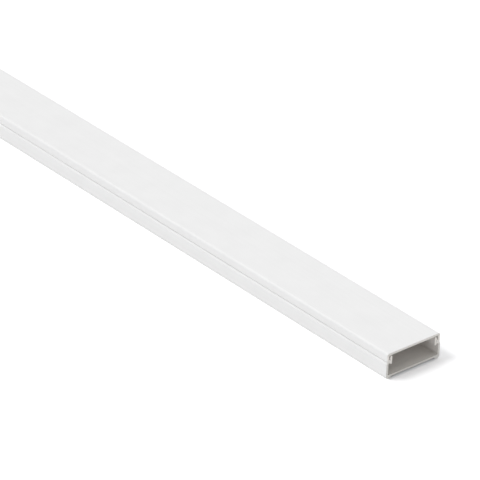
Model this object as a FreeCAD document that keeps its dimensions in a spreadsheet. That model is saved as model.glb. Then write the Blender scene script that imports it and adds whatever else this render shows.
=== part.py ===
import FreeCAD, Part
import os
import Sketcher

# Mini trunking for cables: a base channel that is fixed to a wall, and the cover that snaps onto it.
# Both are rigid PVC, extruded to one section and sawn square. All sizes are in millimetres.
# X runs along the stock, Y across it and Z away from the wall. The origin is midway between the two feet.

# The sizes that can be set by themselves: name, value and what it is
SIZES = [
    ("stock_length", 1000.0, "length of one piece as it is sold"),
    ("overall_width", 38.0, "outside width across the base's walls"),
    ("overall_height", 16.0, "from the base's feet to the cover's top"),
    ("wall_thickness", 1.4, "side walls of the base"),
    ("floor_thickness", 1.1, "floor of the base"),
    ("foot_height", 1.2, "how far the feet hold the floor up"),
    ("foot_width", 3.0, "each foot, from the base's side in"),
    ("foot_flank", 0.5, "slope of the foot's inner side"),
    ("cover_thickness", 1.4, "flat top of the cover"),
    ("skirt_thickness", 1.2, "skirts down the cover's sides"),
    ("skirt_inset", 0.4, "from the base's side in to the cover's side"),
    ("seam_gap", 0.2, "from the skirt's lower edge to the shoulder"),
    ("shoulder_thickness", 0.9, "shoulder that steps in at the wall's top"),
    ("shoulder_face", 0.6, "upright face of the shoulder under the seam"),
    ("shoulder_bevel", 0.6, "height of the slope from the wall's side in to that face"),
    ("clip_space", 1.15, "from the skirt's inner face to the upright"),
    ("upright_thickness", 1.15, "upright that stands on the shoulder's inner edge"),
    ("upright_rise", 0.8, "how far the upright goes on above the hook"),
    ("lip_drop", 0.7, "how far the upright goes on below the shoulder"),
    ("hook_reach", 0.45, "how far the hook stands out of the upright"),
    ("hook_nose", 0.4, "straight nose of the hook"),
    ("hook_ramp", 0.7, "slope above the nose, which the bead rides over"),
    ("hook_undercut", 0.1, "slope below the nose"),
    ("bead_height", 1.1, "bead along the skirt's lower edge"),
    ("bead_lead", 0.4, "slope under the bead's tip"),
    ("bead_clearance", 0.15, "from the bead's tip to the upright"),
    ("snap_play", 0.1, "from the bead's top to the hook"),
    ("headroom", 0.6, "from the upright's top to the cover's underside"),
    ("cover_round", 1.3, "round along the cover's top corners"),
    ("cover_fillet", 0.4, "round inside the cover's corners"),
    ("skirt_round", 0.3, "round along the skirt's lower outer edge"),
    ("bead_round", 0.15, "round on the bead's upper tip"),
    ("bevel_round", 0.2, "round where the wall's side turns into the slope"),
    ("shoulder_fillet", 0.5, "round between the wall and the shoulder's underside"),
    ("upright_round", 0.3, "round along the upright's inner top edge"),
    ("corner_round", 2.0, "round along the base's lower corners"),
    ("floor_fillet", 0.5, "round inside the base's lower corners"),
]
TOLERANCE = 1e-6


class Size:
    # A distance together with the formula over the sheet that drives it

    def __init__(self, formula, value):
        self.formula = formula
        self.value = value

    def __add__(self, other):
        return Size(f"({self.formula} + {other.formula})", self.value + other.value)

    def __sub__(self, other):
        return Size(f"({self.formula} - {other.formula})", self.value - other.value)

    def __truediv__(self, divisor):
        return Size(f"({self.formula} / {divisor})", self.value / divisor)


size = {name: Size(f"Sizes.{name}", value) for name, value, meaning in SIZES}
axis = Size("0 mm", 0.0)
underside = axis

# Distances out from the middle of the section
half_width = size["overall_width"] / 2
wall_inner = half_width - size["wall_thickness"]
foot_inner = half_width - size["foot_width"]
flank_top = foot_inner - size["foot_flank"]
cover_side = half_width - size["skirt_inset"]
skirt_inner = cover_side - size["skirt_thickness"]
upright_outer = skirt_inner - size["clip_space"]
upright_inner = upright_outer - size["upright_thickness"]
hook_tip = upright_outer + size["hook_reach"]
bead_tip = upright_outer + size["bead_clearance"]
bead_foot = bead_tip + size["bead_lead"]

# Heights, counted down from the cover: the clip keeps its own size in a taller or lower trunking
cover_top = size["overall_height"]
cover_underside = cover_top - size["cover_thickness"]
upright_top = cover_underside - size["headroom"]
ramp_top = upright_top - size["upright_rise"]
nose_top = ramp_top - size["hook_ramp"]
nose_bottom = nose_top - size["hook_nose"]
hook_bottom = nose_bottom - size["hook_undercut"]
bead_top = hook_bottom - size["snap_play"]
skirt_bottom = bead_top - size["bead_height"]
lead_top = skirt_bottom + size["bead_lead"]
seam_height = skirt_bottom - size["seam_gap"]
bevel_top = seam_height - size["shoulder_face"]
bevel_bottom = bevel_top - size["shoulder_bevel"]
shoulder_bottom = seam_height - size["shoulder_thickness"]
lip_bottom = shoulder_bottom - size["lip_drop"]
floor_underside = size["foot_height"]
floor_top = floor_underside + size["floor_thickness"]


def make_sheet(doc):
    sheet = doc.addObject("Spreadsheet::Sheet", "Sizes")
    for row, (name, value, meaning) in enumerate(SIZES, start=1):
        sheet.set(f"A{row}", meaning)
        sheet.set(f"B{row}", str(value))
        sheet.setAlias(f"B{row}", name)
    doc.recompute()


def make_body(doc, name):
    body = doc.addObject("PartDesign::Body", name)
    body.Label = name
    body.Placement = FreeCAD.Placement()
    return body


def origin_plane(body, role):
    return next(item for item in body.Origin.OriginFeatures if item.Role == role)


def draw_section(body, name, corners):
    # Half of the section, closed along the middle. Each corner is how far out and how far up it lies.
    # An edge whose ends share a Size is held upright or level, and every other place is dimensioned.
    sketch = body.newObject("Sketcher::SketchObject", name)
    sketch.AttachmentSupport = (origin_plane(body, "YZ_Plane"), "")
    sketch.MapMode = "FlatFace"
    points = [FreeCAD.Vector(out.value, up.value, 0) for out, up in corners]
    for point, following in zip(points, points[1:] + points[:1]):
        sketch.addGeometry(Part.LineSegment(point, following))
    for index in range(len(points)):
        following = (index + 1) % len(points)
        sketch.addConstraint(Sketcher.Constraint("Coincident", index, 2, following, 1))
    last_out, last_up = None, None
    for index, (out, up) in enumerate(corners):
        if out is last_out:
            sketch.addConstraint(Sketcher.Constraint("Vertical", index - 1))
        else:
            dimension_corner(sketch, index, "DistanceX", out)
        if up is last_up:
            sketch.addConstraint(Sketcher.Constraint("Horizontal", index - 1))
        else:
            dimension_corner(sketch, index, "DistanceY", up)
        last_out, last_up = out, up
    return sketch


def dimension_corner(sketch, index, kind, distance):
    # Places the start of a line from the sketch's origin, or on the axis that runs through it
    if distance is axis:
        along = -2 if kind == "DistanceX" else -1
        sketch.addConstraint(Sketcher.Constraint("PointOnObject", index, 1, along))
        return
    number = sketch.addConstraint(Sketcher.Constraint(kind, -1, 1, index, 1, distance.value))
    sketch.setExpression(f"Constraints[{number}]", distance.formula)


def extrude_section(body, section):
    # The half section runs the stock's length, and its mirror image across the middle makes it whole
    half = body.newObject("PartDesign::Pad", f"{section.Name}_run")
    half.Profile = section
    half.SideType = "Symmetric"
    half.setExpression("Length", size["stock_length"].formula)
    whole = body.newObject("PartDesign::Mirrored", f"{section.Name}_whole")
    whole.Originals = [half]
    whole.MirrorPlane = (origin_plane(body, "XZ_Plane"), [""])
    whole.Refine = True
    body.Tip = whole
    body.Document.recompute()


def round_edges(body, name, radius, out, up):
    # Rounds the two edges that run along the stock at one corner of the section, left and right
    base = body.Tip
    edges = []
    for index, edge in enumerate(base.Shape.Edges, start=1):
        first, last = edge.Vertexes[0].Point, edge.Vertexes[-1].Point
        along = abs(last.x - first.x) > TOLERANCE
        at_corner = abs(abs(first.y) - out.value) < TOLERANCE and abs(first.z - up.value) < TOLERANCE
        if along and at_corner:
            edges.append(f"Edge{index}")
    if len(edges) != 2:
        raise ValueError(f"{name}: {len(edges)} edges lie at that corner, and 2 are expected")
    fillet = body.newObject("PartDesign::Fillet", name)
    fillet.Base = (base, edges)
    fillet.setExpression("Radius", radius.formula)
    body.Tip = fillet
    body.Document.recompute()


def make_base(doc):
    # Floor on two feet, walls, the shoulder that ends each wall, and the hooked upright on its inner edge
    body = make_body(doc, "base_channel")
    corners = [
        (axis, floor_underside),
        (flank_top, floor_underside),
        (foot_inner, underside),
        (half_width, underside),
        (half_width, bevel_bottom),
        (cover_side, bevel_top),
        (cover_side, seam_height),
        (upright_outer, seam_height),
        (upright_outer, hook_bottom),
        (hook_tip, nose_bottom),
        (hook_tip, nose_top),
        (upright_outer, ramp_top),
        (upright_outer, upright_top),
        (upright_inner, upright_top),
        (upright_inner, lip_bottom),
        (upright_outer, lip_bottom),
        (upright_outer, shoulder_bottom),
        (wall_inner, shoulder_bottom),
        (wall_inner, floor_top),
        (axis, floor_top),
    ]
    extrude_section(body, draw_section(body, "base_section", corners))
    round_edges(body, "lower_corners", size["corner_round"], half_width, underside)
    round_edges(body, "floor_corners", size["floor_fillet"], wall_inner, floor_top)
    round_edges(body, "bevel_edges", size["bevel_round"], half_width, bevel_bottom)
    round_edges(body, "shoulder_roots", size["shoulder_fillet"], wall_inner, shoulder_bottom)
    round_edges(body, "upright_edges", size["upright_round"], upright_inner, upright_top)
    return body


def make_cover(doc):
    # Flat top, a skirt down each side, and the bead along each skirt's lower edge that snaps under a hook
    body = make_body(doc, "cover")
    corners = [
        (axis, cover_underside),
        (skirt_inner, cover_underside),
        (skirt_inner, bead_top),
        (bead_tip, bead_top),
        (bead_tip, lead_top),
        (bead_foot, skirt_bottom),
        (cover_side, skirt_bottom),
        (cover_side, cover_top),
        (axis, cover_top),
    ]
    extrude_section(body, draw_section(body, "cover_section", corners))
    round_edges(body, "top_corners", size["cover_round"], cover_side, cover_top)
    round_edges(body, "inner_corners", size["cover_fillet"], skirt_inner, cover_underside)
    round_edges(body, "skirt_edges", size["skirt_round"], cover_side, skirt_bottom)
    round_edges(body, "bead_edges", size["bead_round"], bead_tip, bead_top)
    return body


def check_model(doc, bodies):
    # Nothing is written unless every feature was made and every piece is one sound solid
    for item in doc.Objects:
        if "Invalid" in item.State or "Error" in item.State:
            raise ValueError(f"{item.Name} failed: {item.State}")
    for body in bodies:
        shape = body.Shape
        if shape.isNull() or not shape.isValid() or len(shape.Solids) != 1:
            raise ValueError(f"{body.Label} is not one sound solid")


def main():
    doc = FreeCAD.newDocument("cord_cover_raceway")
    make_sheet(doc)
    bodies = [make_base(doc), make_cover(doc)]
    doc.recompute()
    check_model(doc, bodies)
    os.makedirs("parts", exist_ok=True)
    for body in bodies:
        body.Shape.exportStep(os.path.join("parts", f"{body.Label}.step"))
        box = body.Shape.BoundBox
        print(
            f"{body.Label}: {box.XLength:.2f} x {box.YLength:.2f} x {box.ZLength:.2f} mm,"
            f" {body.Shape.Volume:.0f} mm3, {len(body.Shape.Faces)} faces"
        )


main()
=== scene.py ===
import math

import bmesh
import bpy
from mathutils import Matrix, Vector
from mathutils.geometry import delaunay_2d_cdt


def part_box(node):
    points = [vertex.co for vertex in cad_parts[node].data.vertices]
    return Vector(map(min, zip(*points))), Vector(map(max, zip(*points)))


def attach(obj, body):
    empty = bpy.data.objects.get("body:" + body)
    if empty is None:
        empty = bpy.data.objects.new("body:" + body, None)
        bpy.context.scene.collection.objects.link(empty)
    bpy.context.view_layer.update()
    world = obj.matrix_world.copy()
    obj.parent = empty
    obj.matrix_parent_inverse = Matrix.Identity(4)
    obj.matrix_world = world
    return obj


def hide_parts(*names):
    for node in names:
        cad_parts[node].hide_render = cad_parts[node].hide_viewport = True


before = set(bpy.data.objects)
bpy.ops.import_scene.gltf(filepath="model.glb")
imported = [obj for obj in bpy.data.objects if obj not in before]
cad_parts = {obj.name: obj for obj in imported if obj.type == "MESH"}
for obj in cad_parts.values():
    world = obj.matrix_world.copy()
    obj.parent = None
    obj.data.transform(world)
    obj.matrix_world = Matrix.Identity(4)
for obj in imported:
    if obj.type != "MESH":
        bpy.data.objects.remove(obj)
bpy.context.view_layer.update()        # base_channel and cover, in metres, near end at +X

mm = 0.001


def hexToLinear(code):
    # sRGB hex, as read from a colour picker, to the linear values that the shaders take
    parts = [int(code[i:i + 2], 16) / 255 for i in (1, 3, 5)]
    linear = [c / 12.92 if c <= 0.04045 else ((c + 0.055) / 1.055) ** 2.4 for c in parts]
    return (*linear, 1.0)


# Node trees

# A Mix node's sockets when it mixes colours, which share their names with its other ones
firstColour, secondColour, mixedColour = 6, 7, 2


def addNode(tree, kind, settings=None, links=None):
    # settings: values for properties and inputs, links: sockets that feed inputs. An input goes by its name,
    # or by its number where several share one name
    node = tree.nodes.new(kind)
    for name, value in (settings or {}).items():
        if isinstance(name, int) or name in node.inputs:
            node.inputs[name].default_value = value
        else:
            setattr(node, name, value)
    for name, socket in (links or {}).items():
        tree.links.new(socket, node.inputs[name])
    return node


def newMaterial(name):
    material = bpy.data.materials.new(name)
    material.use_nodes = True
    material.node_tree.nodes.clear()
    return material, material.node_tree


# Rigid PVC, extruded. The die leaves a satin skin with faint lines along the stock, and the melt a slow
# unevenness: the eye gets one clean white with a soft sheen that isn't quite even across the section.
pvcSkin = {
    "colour": "#F2F2F2",
    "colourBetween": "#EFEFEF",   # where the skin is a touch greyer
    "tintSpan": (0.35, 0.60),     # the unevenness that the two colours stand for
    "roughness": (0.36, 0.46),
    "roughSpan": (0.30, 0.70),    # the unevenness that the two roughnesses stand for
    "ior": 1.53,                  # rigid PVC
    "dieLine": 1.1,               # mm between lines. Real ones are near 0.2, too fine to show
    "dieRun": 400.0,              # mm that one line goes on for
    "flow": 14.0,                 # mm, slow swell of the melt
    "lineDepth": 0.010,           # mm
    "flowDepth": 0.030,           # mm
    "floorShade": None,                 # no painted shade outside
}

# The same skin inside the hollow. It cools in the air, away from the die's sizing blocks, so the eye gets
# a duller white there. Near the ends it carries painted shade: a slightly warmer grey all over the inside,
# and a darker grey low down on the floor right at the ends.
pvcInside = {
    **pvcSkin,
    "roughness": (0.50, 0.62),
    "shadeTint": "#FAF6F2",            # painted shade: a warm grey over the white near the ends
    "shadeTintAlong": (400.0, 475.0),  # mm from the stock's middle, none up to the first, whole from the second
    # painted shade: a darker grey low on the floor of the hollow at the ends
    "floorShade": "#D8D5D0",
    "floorShadeUp": (2.4, 4.0),         # mm, full up to the first height and gone by the second
    "floorShadeAlong": (486.5, 494.5),  # mm from the stock's middle, none up to the first, full from the second
}

# Where a section's inside faces are, in mm. The faces of the seam between base and cover are outside ones
insideSpan = {"out": 17.9, "low": 1.5, "high": 14.9, "seam": (10.5, 10.9)}


def layPaintedShade(tree, look, place, colour):
    # The colour with painted shade: a warm grey near the ends, and a darker grey low on the floor at the
    # ends
    parts = addNode(tree, "ShaderNodeSeparateXYZ", None, {"Vector": place.outputs["Object"]})
    endways = addNode(tree, "ShaderNodeMath", {"operation": "ABSOLUTE"}, {0: parts.outputs["X"]})
    noneUpTo, wholeFrom = look["shadeTintAlong"]
    shadeTintShare = addNode(tree, "ShaderNodeMapRange", {"From Min": noneUpTo * mm, "From Max": wholeFrom * mm},
                        {"Value": endways.outputs["Value"]})
    shadeTinted = addNode(tree, "ShaderNodeMix",
                     {"data_type": "RGBA", "blend_type": "MULTIPLY",
                      secondColour: hexToLinear(look["shadeTint"])},
                     {"Factor": shadeTintShare.outputs["Result"], firstColour: colour})
    thickUpTo, goneBy = look["floorShadeUp"]
    lowDown = addNode(tree, "ShaderNodeMapRange",
                      {"From Min": thickUpTo * mm, "From Max": goneBy * mm, "To Min": 1.0, "To Max": 0.0},
                      {"Value": parts.outputs["Z"]})
    noneUpTo, thickFrom = look["floorShadeAlong"]
    atEnds = addNode(tree, "ShaderNodeMapRange", {"From Min": noneUpTo * mm, "From Max": thickFrom * mm},
                     {"Value": endways.outputs["Value"]})
    floorShadeShare = addNode(tree, "ShaderNodeMath", {"operation": "MULTIPLY"},
                        {0: lowDown.outputs["Result"], 1: atEnds.outputs["Result"]})
    floorShaded = addNode(tree, "ShaderNodeMix", {"data_type": "RGBA", secondColour: hexToLinear(look["floorShade"])},
                    {"Factor": floorShadeShare.outputs["Value"], firstColour: shadeTinted.outputs[mixedColour]})
    return floorShaded.outputs[mixedColour]


def makeExtrudedPvc(name, look):
    material, tree = newMaterial(name)
    place = addNode(tree, "ShaderNodeTexCoord")
    stretched = addNode(tree, "ShaderNodeMapping",
                        {"Scale": (1 / (look["dieRun"] * mm),) + (1 / (look["dieLine"] * mm),) * 2},
                        {"Vector": place.outputs["Object"]})
    lines = addNode(tree, "ShaderNodeTexNoise",
                    {"Scale": 1.0, "Detail": 3.0, "Roughness": 0.6},
                    {"Vector": stretched.outputs["Vector"]})
    flow = addNode(tree, "ShaderNodeTexNoise",
                   {"Scale": 1 / (look["flow"] * mm), "Detail": 2.0, "Roughness": 0.5},
                   {"Vector": place.outputs["Object"]})
    both = addNode(tree, "ShaderNodeMix", {"data_type": "FLOAT", "Factor": 0.5},
                   {"A": lines.outputs["Fac"], "B": flow.outputs["Fac"]})
    tint = addNode(tree, "ShaderNodeValToRGB", None, {"Fac": both.outputs["Result"]})
    between, full = tint.color_ramp.elements
    between.position, full.position = look["tintSpan"]
    between.color = hexToLinear(look["colourBetween"])
    full.color = hexToLinear(look["colour"])
    colour = tint.outputs["Color"]
    # painted shade, inside the hollow only
    if look["floorShade"]:
        colour = layPaintedShade(tree, look, place, colour)
    even, uneven = look["roughSpan"]
    low, high = look["roughness"]
    rough = addNode(tree, "ShaderNodeMapRange",
                    {"From Min": even, "From Max": uneven, "To Min": low, "To Max": high},
                    {"Value": both.outputs["Result"]})
    swell = addNode(tree, "ShaderNodeBump", {"Strength": 1.0, "Distance": look["flowDepth"] * mm},
                    {"Height": flow.outputs["Fac"]})
    relief = addNode(tree, "ShaderNodeBump", {"Strength": 1.0, "Distance": look["lineDepth"] * mm},
                     {"Height": lines.outputs["Fac"], "Normal": swell.outputs["Normal"]})
    skin = addNode(tree, "ShaderNodeBsdfPrincipled", {"IOR": look["ior"]},
                   {"Base Color": colour, "Roughness": rough.outputs["Result"],
                    "Normal": relief.outputs["Normal"]})
    addNode(tree, "ShaderNodeOutputMaterial", None, {"Surface": skin.outputs["BSDF"]})
    return material


# Rigid PVC, sawn. The blade leaves a dull face with fine marks across the wall, slightly warmer than the
# extruded skin; its darker grey is painted shade. From the clip upward the sawn faces carry painted light,
# a paler band, so the clip's ends stand out a little from the walls'.
pvcCut = {
    # painted shade: the sawn faces' grey, darker than the skin
    "colour": "#E3E2DE",
    "colourBetween": "#D9D7D2",
    # painted light: the paler colour of the sawn faces from the clip upward
    "colourPaintedLight": "#F2EEE8",
    "paintedLight": ((9.2, 0.0), (10.2, 1.0), (13.8, 1.0), (14.8, 0.35)),     # mm up, share of the painted light's paler colour
    "roughness": 0.62,
    "ior": 1.53,
    "toothMark": 1.27,            # mm between marks. A fine blade leaves 0.3, too fine to show
    "markDepth": 0.02,            # mm
}

# The sawn ends, in mm. The near one leans in from the cover's top down to the floor, because the
# photograph's base ends a little behind its cover
sawCut = {
    "top": 16.0,                  # height at which it meets the CAD's square end
    "lean": 0.0375,               # that it leans in for each mm further down
    "bevel": 0.06,                # where its edges have been wiped with a knife
}


def makeSawnPvc(look):
    material, tree = newMaterial("rigidPvcSawn")
    place = addNode(tree, "ShaderNodeTexCoord")
    slantedBands = 10 * math.sqrt(2) / math.tau      # that a wave of scale 1 draws on a metre of the cut
    marks = addNode(tree, "ShaderNodeTexWave",
                    {"wave_type": "BANDS", "bands_direction": "DIAGONAL", "Distortion": 2.5, "Detail": 2.0,
                     "Scale": 1 / (look["toothMark"] * mm) / slantedBands},
                    {"Vector": place.outputs["Object"]})
    tint = addNode(tree, "ShaderNodeMix",
                   {"data_type": "RGBA", firstColour: hexToLinear(look["colourBetween"]),
                    secondColour: hexToLinear(look["colour"])},
                   {"Factor": marks.outputs["Fac"]})
    parts = addNode(tree, "ShaderNodeSeparateXYZ", None, {"Vector": place.outputs["Object"]})
    height = addNode(tree, "ShaderNodeMapRange", {"From Max": sawCut["top"] * mm},
                     {"Value": parts.outputs["Z"]})
    # painted light: the sawn faces turn paler from the clip upward
    paintedLight = addNode(tree, "ShaderNodeValToRGB", None, {"Fac": height.outputs["Result"]})
    stops = paintedLight.color_ramp.elements
    while len(stops) < len(look["paintedLight"]):
        stops.new(0.5)
    for stop, (up, share) in zip(stops, look["paintedLight"]):
        stop.position = up / sawCut["top"]
        stop.color = (share, share, share, 1.0)
    paler = addNode(tree, "ShaderNodeMix",
                    {"data_type": "RGBA", secondColour: hexToLinear(look["colourPaintedLight"])},
                    {"Factor": paintedLight.outputs["Color"], firstColour: tint.outputs[mixedColour]})
    relief = addNode(tree, "ShaderNodeBump", {"Strength": 1.0, "Distance": look["markDepth"] * mm},
                     {"Height": marks.outputs["Fac"]})
    cut = addNode(tree, "ShaderNodeBsdfPrincipled", {"IOR": look["ior"], "Roughness": look["roughness"]},
                  {"Base Color": paler.outputs[mixedColour], "Normal": relief.outputs["Normal"]})
    addNode(tree, "ShaderNodeOutputMaterial", None, {"Surface": cut.outputs["BSDF"]})
    return material


skinMaterial = makeExtrudedPvc("rigidPvcExtruded", pvcSkin)
insideMaterial = makeExtrudedPvc("rigidPvcInside", pvcInside)
cutMaterial = makeSawnPvc(pvcCut)
materials = [skinMaterial, cutMaterial, insideMaterial]      # both pieces have the three
print("materials made")


# Extruded pieces. A corner of a section is (mm out from the middle, mm up, mm of round).

arcStep = math.radians(9)        # a quarter round is ten facets
sharpFrom = math.radians(30)     # an edge that turns more than this stays crisp
mitreLimit = 0.4                 # keeps the bevel of a pointed corner short


def roundCorner(before, corner, after):
    # The points of one corner of a section, as an arc where it has a round
    here = Vector(corner[:2])
    toBefore = (Vector(before[:2]) - here).normalized()
    toAfter = (Vector(after[:2]) - here).normalized()
    radius = corner[2]
    if radius == 0:
        return [here]
    half = toBefore.angle(toAfter) / 2
    start = here + toBefore * radius / math.tan(half)
    centre = here + (toBefore + toAfter).normalized() * radius / math.sin(half)
    turn = math.pi - 2 * half
    side = 1 if toBefore.cross(toAfter) < 0 else -1
    steps = max(2, math.ceil(turn / arcStep))
    spoke = start - centre
    points = []
    for i in range(steps + 1):
        angle = side * turn * i / steps
        points.append(centre + Vector((spoke.x * math.cos(angle) - spoke.y * math.sin(angle),
                                       spoke.x * math.sin(angle) + spoke.y * math.cos(angle))))
    return points


def wholeSection(corners):
    # Half a section, from the middle round to the middle, becomes the closed section
    half = []
    for i in range(1, len(corners) - 1):
        half += roundCorner(corners[i - 1], corners[i], corners[i + 1])
    half = [Vector(corners[0][:2])] + half + [Vector(corners[-1][:2])]
    return half + [Vector((-p.x, p.y)) for p in reversed(half[1:-1])]


def insetSection(points, depth):
    # The section drawn in by depth all round
    count = len(points)
    area = sum(points[i].cross(points[(i + 1) % count]) for i in range(count))
    inward = 1 if area > 0 else -1
    inset = []
    for i, point in enumerate(points):
        back = (point - points[i - 1]).normalized()
        ahead = (points[(i + 1) % count] - point).normalized()
        normals = [Vector((-d.y, d.x)) * inward for d in (back, ahead)]
        middle = (normals[0] + normals[1]).normalized()
        inset.append(point + middle * depth / max(mitreLimit, middle.dot(normals[0])))
    return inset


def liesInside(point):
    low, high = insideSpan["seam"]
    within = abs(point.x) < insideSpan["out"] and insideSpan["low"] < point.y < insideSpan["high"]
    return within and not low < point.y < high


def extrudePiece(name, corners, lowX, highX):
    # The section runs from lowX to highX in metres, and its sawn edges are bevelled
    section = wholeSection(corners)
    drawnIn = insetSection(section, sawCut["bevel"])
    bevel = sawCut["bevel"] * mm
    rings = [(lowX, drawnIn), (lowX + bevel, section), (highX - bevel, section), (highX, drawnIn)]
    shape = bmesh.new()
    made = [[shape.verts.new((x, p.x * mm, p.y * mm)) for p in outline] for x, outline in rings]
    for vertex in made[2] + made[3]:
        vertex.co.x -= (sawCut["top"] * mm - vertex.co.z) * sawCut["lean"]
    count = len(section)
    for near, far in zip(made, made[1:]):
        for i in range(count):
            j = (i + 1) % count
            face = shape.faces.new((near[i], near[j], far[j], far[i]))
            if liesInside((section[i] + section[j]) / 2):
                face.material_index = materials.index(insideMaterial)
    withinOutline, nearest = 1, 1e-6      # keeps the triangles inside it, and mm at which two points are one
    triangles = delaunay_2d_cdt(drawnIn, [], [list(range(count))], withinOutline, nearest)[2]
    for ring in (made[0], made[-1]):
        for corner in triangles:
            shape.faces.new([ring[i] for i in corner]).material_index = materials.index(cutMaterial)
    bmesh.ops.recalc_face_normals(shape, faces=shape.faces)
    mesh = bpy.data.meshes.new(name)
    shape.to_mesh(mesh)
    shape.free()
    mesh.shade_smooth()
    mesh.set_sharp_from_angle(angle=sharpFrom)
    for material in materials:
        mesh.materials.append(material)
    piece = bpy.data.objects.new(name, mesh)
    bpy.context.scene.collection.objects.link(piece)
    flatten = piece.modifiers.new("keepFlatsFlat", "WEIGHTED_NORMAL")
    flatten.keep_sharp = True
    return piece


# Base channel, all in mm. Its width and length are its CAD node's
baseChannel = {
    "wall": 1.4, "floorLow": 1.2, "floorTop": 2.3, "footIn": 16.0, "footFlank": 0.5,
    "seam": 10.6, "shoulder": 0.9, "bevelFoot": 9.4, "bevelTop": 10.0, "bevelIn": 18.6,
    "uprightOut": 16.25, "uprightIn": 15.1, "uprightTop": 14.0, "lip": 9.0,
    "hookOut": 16.7, "hookLow": 12.0, "noseLow": 12.1, "noseHigh": 12.5, "rampTop": 13.2,
    "cornerRound": 2.0, "floorFillet": 0.5, "bevelRound": 0.2, "shoulderFillet": 0.5,
    "uprightRound": 0.3, "edgeRound": 0.1,
}


def makeBase(size):
    low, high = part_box("base_channel")
    half = high.y / mm
    inner = half - size["wall"]
    edge = size["edgeRound"]
    under = size["seam"] - size["shoulder"]
    corners = [
        (0, size["floorLow"], 0),
        (size["footIn"] - size["footFlank"], size["floorLow"], edge),
        (size["footIn"], 0, edge),
        (half, 0, size["cornerRound"]),
        (half, size["bevelFoot"], size["bevelRound"]),
        (size["bevelIn"], size["bevelTop"], edge),
        (size["bevelIn"], size["seam"], edge),
        (size["uprightOut"], size["seam"], edge),
        (size["uprightOut"], size["hookLow"], 0),
        (size["hookOut"], size["noseLow"], edge),
        (size["hookOut"], size["noseHigh"], edge),
        (size["uprightOut"], size["rampTop"], edge),
        (size["uprightOut"], size["uprightTop"], edge),
        (size["uprightIn"], size["uprightTop"], size["uprightRound"]),
        (size["uprightIn"], size["lip"], edge),
        (size["uprightOut"], size["lip"], edge),
        (size["uprightOut"], under, edge),
        (inner, under, size["shoulderFillet"]),
        (inner, size["floorTop"], size["floorFillet"]),
        (0, size["floorTop"], 0),
    ]
    piece = extrudePiece("baseChannelProfile", corners, low.x, high.x)
    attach(piece, "base")
    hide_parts("base_channel")


# Cover, all in mm. Its width, length and top are its CAD node's
coverStrip = {
    "thickness": 1.4, "skirt": 1.2, "skirtLow": 10.8,
    "beadIn": 16.4, "beadTop": 11.9, "leadTop": 11.2, "leadFoot": 16.8,
    "coverRound": 1.3, "coverFillet": 0.4, "skirtRound": 0.3, "beadRound": 0.15, "edgeRound": 0.1,
}


def makeCover(size):
    low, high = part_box("cover")
    half, top = high.y / mm, high.z / mm
    inner = half - size["skirt"]
    under = top - size["thickness"]
    edge = size["edgeRound"]
    corners = [
        (0, under, 0),
        (inner, under, size["coverFillet"]),
        (inner, size["beadTop"], edge),
        (size["beadIn"], size["beadTop"], size["beadRound"]),
        (size["beadIn"], size["leadTop"], edge),
        (size["leadFoot"], size["skirtLow"], edge),
        (half, size["skirtLow"], size["skirtRound"]),
        (half, top, size["coverRound"]),
        (0, top, 0),
    ]
    piece = extrudePiece("coverStripProfile", corners, low.x, high.x)
    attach(piece, "cover")
    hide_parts("cover")


makeBase(baseChannel)
makeCover(coverStrip)
print("base and cover made")


# Studio: a white floor that keeps the shadow, soft light from all round that is brightest overhead, and
# one big lamp. The floor is a touch brighter for the camera than for the stock, but not under the stock
# or in the line right at its ends
studio = {
    "floorSize": 24.0,            # metres
    "floorSeen": "#FEFEFF",       # a touch cool, as bright paper is
    "floorBounce": "#F2F2F2",     # what it throws back on the object
    "floorGlow": 0.12,            # lifts the floor for the camera alone, for shadows as pale as the photo's
    "underSide": 17.6,            # mm out: the floor under the stock isn't lifted
    "underEnd": 500.5,            # mm along, so that the line right at the cut end stays dark too
    "underFront": 17.0,           # mm out, where the near side's floor starts
    "frontShadowLift": 0.35,            # painted light: lifts the contact shadow along the near side to nearly white for the camera
    "sky": "#FFFFFF",
    "skyLow": 0.38,               # at the horizon
    "skyHigh": 0.87,              # overhead
    "lampStrength": 1.15,
    "lampSpread": 22.0,           # degrees, how big the lamp looks from the object
    "lampFrom": (-0.370, -0.58, 1.0),
}


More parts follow.
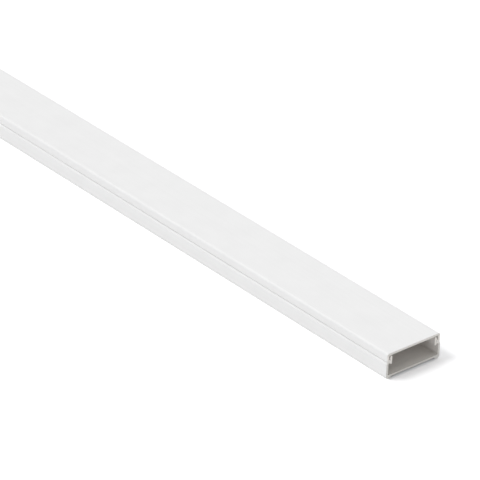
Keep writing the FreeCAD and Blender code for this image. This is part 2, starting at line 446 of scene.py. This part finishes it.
def makeFloor(look):
    half = look["floorSize"] / 2
    mesh = bpy.data.meshes.new("studioFloor")
    rim = [(-half, -half, 0), (half, -half, 0), (half, half, 0), (-half, half, 0)]
    mesh.from_pydata(rim, [], [(0, 1, 2, 3)])
    floor = bpy.data.objects.new("studioFloor", mesh)
    bpy.context.scene.collection.objects.link(floor)
    material, tree = newMaterial("paperSweep")
    paper = addNode(tree, "ShaderNodeBsdfDiffuse", {"Color": hexToLinear(look["floorSeen"])})
    place = addNode(tree, "ShaderNodeTexCoord")
    across = addNode(tree, "ShaderNodeSeparateXYZ", None, {"Vector": place.outputs["Object"]})
    sideways = addNode(tree, "ShaderNodeMath", {"operation": "ABSOLUTE"}, {0: across.outputs["Y"]})
    endways = addNode(tree, "ShaderNodeMath", {"operation": "ABSOLUTE"}, {0: across.outputs["X"]})
    beside = addNode(tree, "ShaderNodeMath", {"operation": "GREATER_THAN", 1: look["underSide"] * mm},
                     {0: sideways.outputs["Value"]})
    beyond = addNode(tree, "ShaderNodeMath", {"operation": "GREATER_THAN", 1: look["underEnd"] * mm},
                     {0: endways.outputs["Value"]})
    notUnder = addNode(tree, "ShaderNodeMath", {"operation": "MAXIMUM"},
                       {0: beside.outputs["Value"], 1: beyond.outputs["Value"]})
    soft = addNode(tree, "ShaderNodeMath", {"operation": "MULTIPLY", 1: look["floorGlow"]},
                   {0: notUnder.outputs["Value"]})
    inFront = addNode(tree, "ShaderNodeMath", {"operation": "LESS_THAN", 1: -look["underFront"] * mm},
                      {0: across.outputs["Y"]})
    along = addNode(tree, "ShaderNodeMath", {"operation": "LESS_THAN", 1: look["underEnd"] * mm},
                    {0: endways.outputs["Value"]})
    nearSide = addNode(tree, "ShaderNodeMath", {"operation": "MULTIPLY"},
                       {0: inFront.outputs["Value"], 1: along.outputs["Value"]})
    # painted light over the contact shadow along the near side
    strong = addNode(tree, "ShaderNodeMath", {"operation": "MULTIPLY", 1: look["frontShadowLift"]},
                     {0: nearSide.outputs["Value"]})
    lift = addNode(tree, "ShaderNodeMath", {"operation": "MAXIMUM"},
                   {0: soft.outputs["Value"], 1: strong.outputs["Value"]})
    glow = addNode(tree, "ShaderNodeEmission", None, {"Strength": lift.outputs["Value"]})
    seen = addNode(tree, "ShaderNodeAddShader", None,
                   {0: paper.outputs["BSDF"], 1: glow.outputs["Emission"]})
    bounce = addNode(tree, "ShaderNodeBsdfDiffuse", {"Color": hexToLinear(look["floorBounce"])})
    ray = addNode(tree, "ShaderNodeLightPath")
    mix = addNode(tree, "ShaderNodeMixShader", None,
                  {"Fac": ray.outputs["Is Camera Ray"],
                   1: bounce.outputs["BSDF"], 2: seen.outputs["Shader"]})
    addNode(tree, "ShaderNodeOutputMaterial", None, {"Surface": mix.outputs["Shader"]})
    mesh.materials.append(material)


def makeLight(look):
    world = bpy.data.worlds.new("softSky")
    bpy.context.scene.world = world
    world.use_nodes = True
    tree = world.node_tree
    tree.nodes.clear()
    ray = addNode(tree, "ShaderNodeLightPath")
    place = addNode(tree, "ShaderNodeTexCoord")
    part = addNode(tree, "ShaderNodeSeparateXYZ", None, {"Vector": place.outputs["Generated"]})
    dome = addNode(tree, "ShaderNodeMapRange", {"To Min": look["skyLow"], "To Max": look["skyHigh"]},
                   {"Value": part.outputs["Z"]})
    strength = addNode(tree, "ShaderNodeMix", {"data_type": "FLOAT", "B": 1.0},
                       {"Factor": ray.outputs["Is Camera Ray"], "A": dome.outputs["Result"]})
    sky = addNode(tree, "ShaderNodeBackground", {"Color": hexToLinear(look["sky"])},
                  {"Strength": strength.outputs["Result"]})
    addNode(tree, "ShaderNodeOutputWorld", None, {"Surface": sky.outputs["Background"]})
    lamp = bpy.data.lights.new("bigSoftLamp", "SUN")
    lamp.energy = look["lampStrength"]
    lamp.angle = math.radians(look["lampSpread"])
    holder = bpy.data.objects.new("bigSoftLamp", lamp)
    holder.rotation_mode = "QUATERNION"
    holder.rotation_quaternion = Vector(look["lampFrom"]).to_track_quat("Z", "Y")
    bpy.context.scene.collection.objects.link(holder)


# Camera, fitted to the photograph's long edges and its sawn end
photoCamera = {
    "place": (1.85026, -1.19245, 1.07635),     # metres
    "looksAlong": (-0.68471, 0.54426, -0.48472),
    "focalPixels": 3895.3,
    "photoPixels": 480,
    "sensor": 36.0,               # mm
    "seesTo": 60.0,               # metres
}


def makeCamera(view):
    camera = bpy.data.cameras.new("photoCamera")
    camera.sensor_width = view["sensor"]
    camera.lens = view["focalPixels"] / view["photoPixels"] * view["sensor"]
    camera.clip_end = view["seesTo"]
    holder = bpy.data.objects.new("photoCamera", camera)
    holder.location = view["place"]
    holder.rotation_mode = "QUATERNION"
    holder.rotation_quaternion = Vector(view["looksAlong"]).to_track_quat("-Z", "Y")
    bpy.context.scene.collection.objects.link(holder)
    bpy.context.scene.camera = holder


makeFloor(studio)
makeLight(studio)
makeCamera(photoCamera)
bpy.context.scene.view_settings.view_transform = "Standard"
print("studio made")
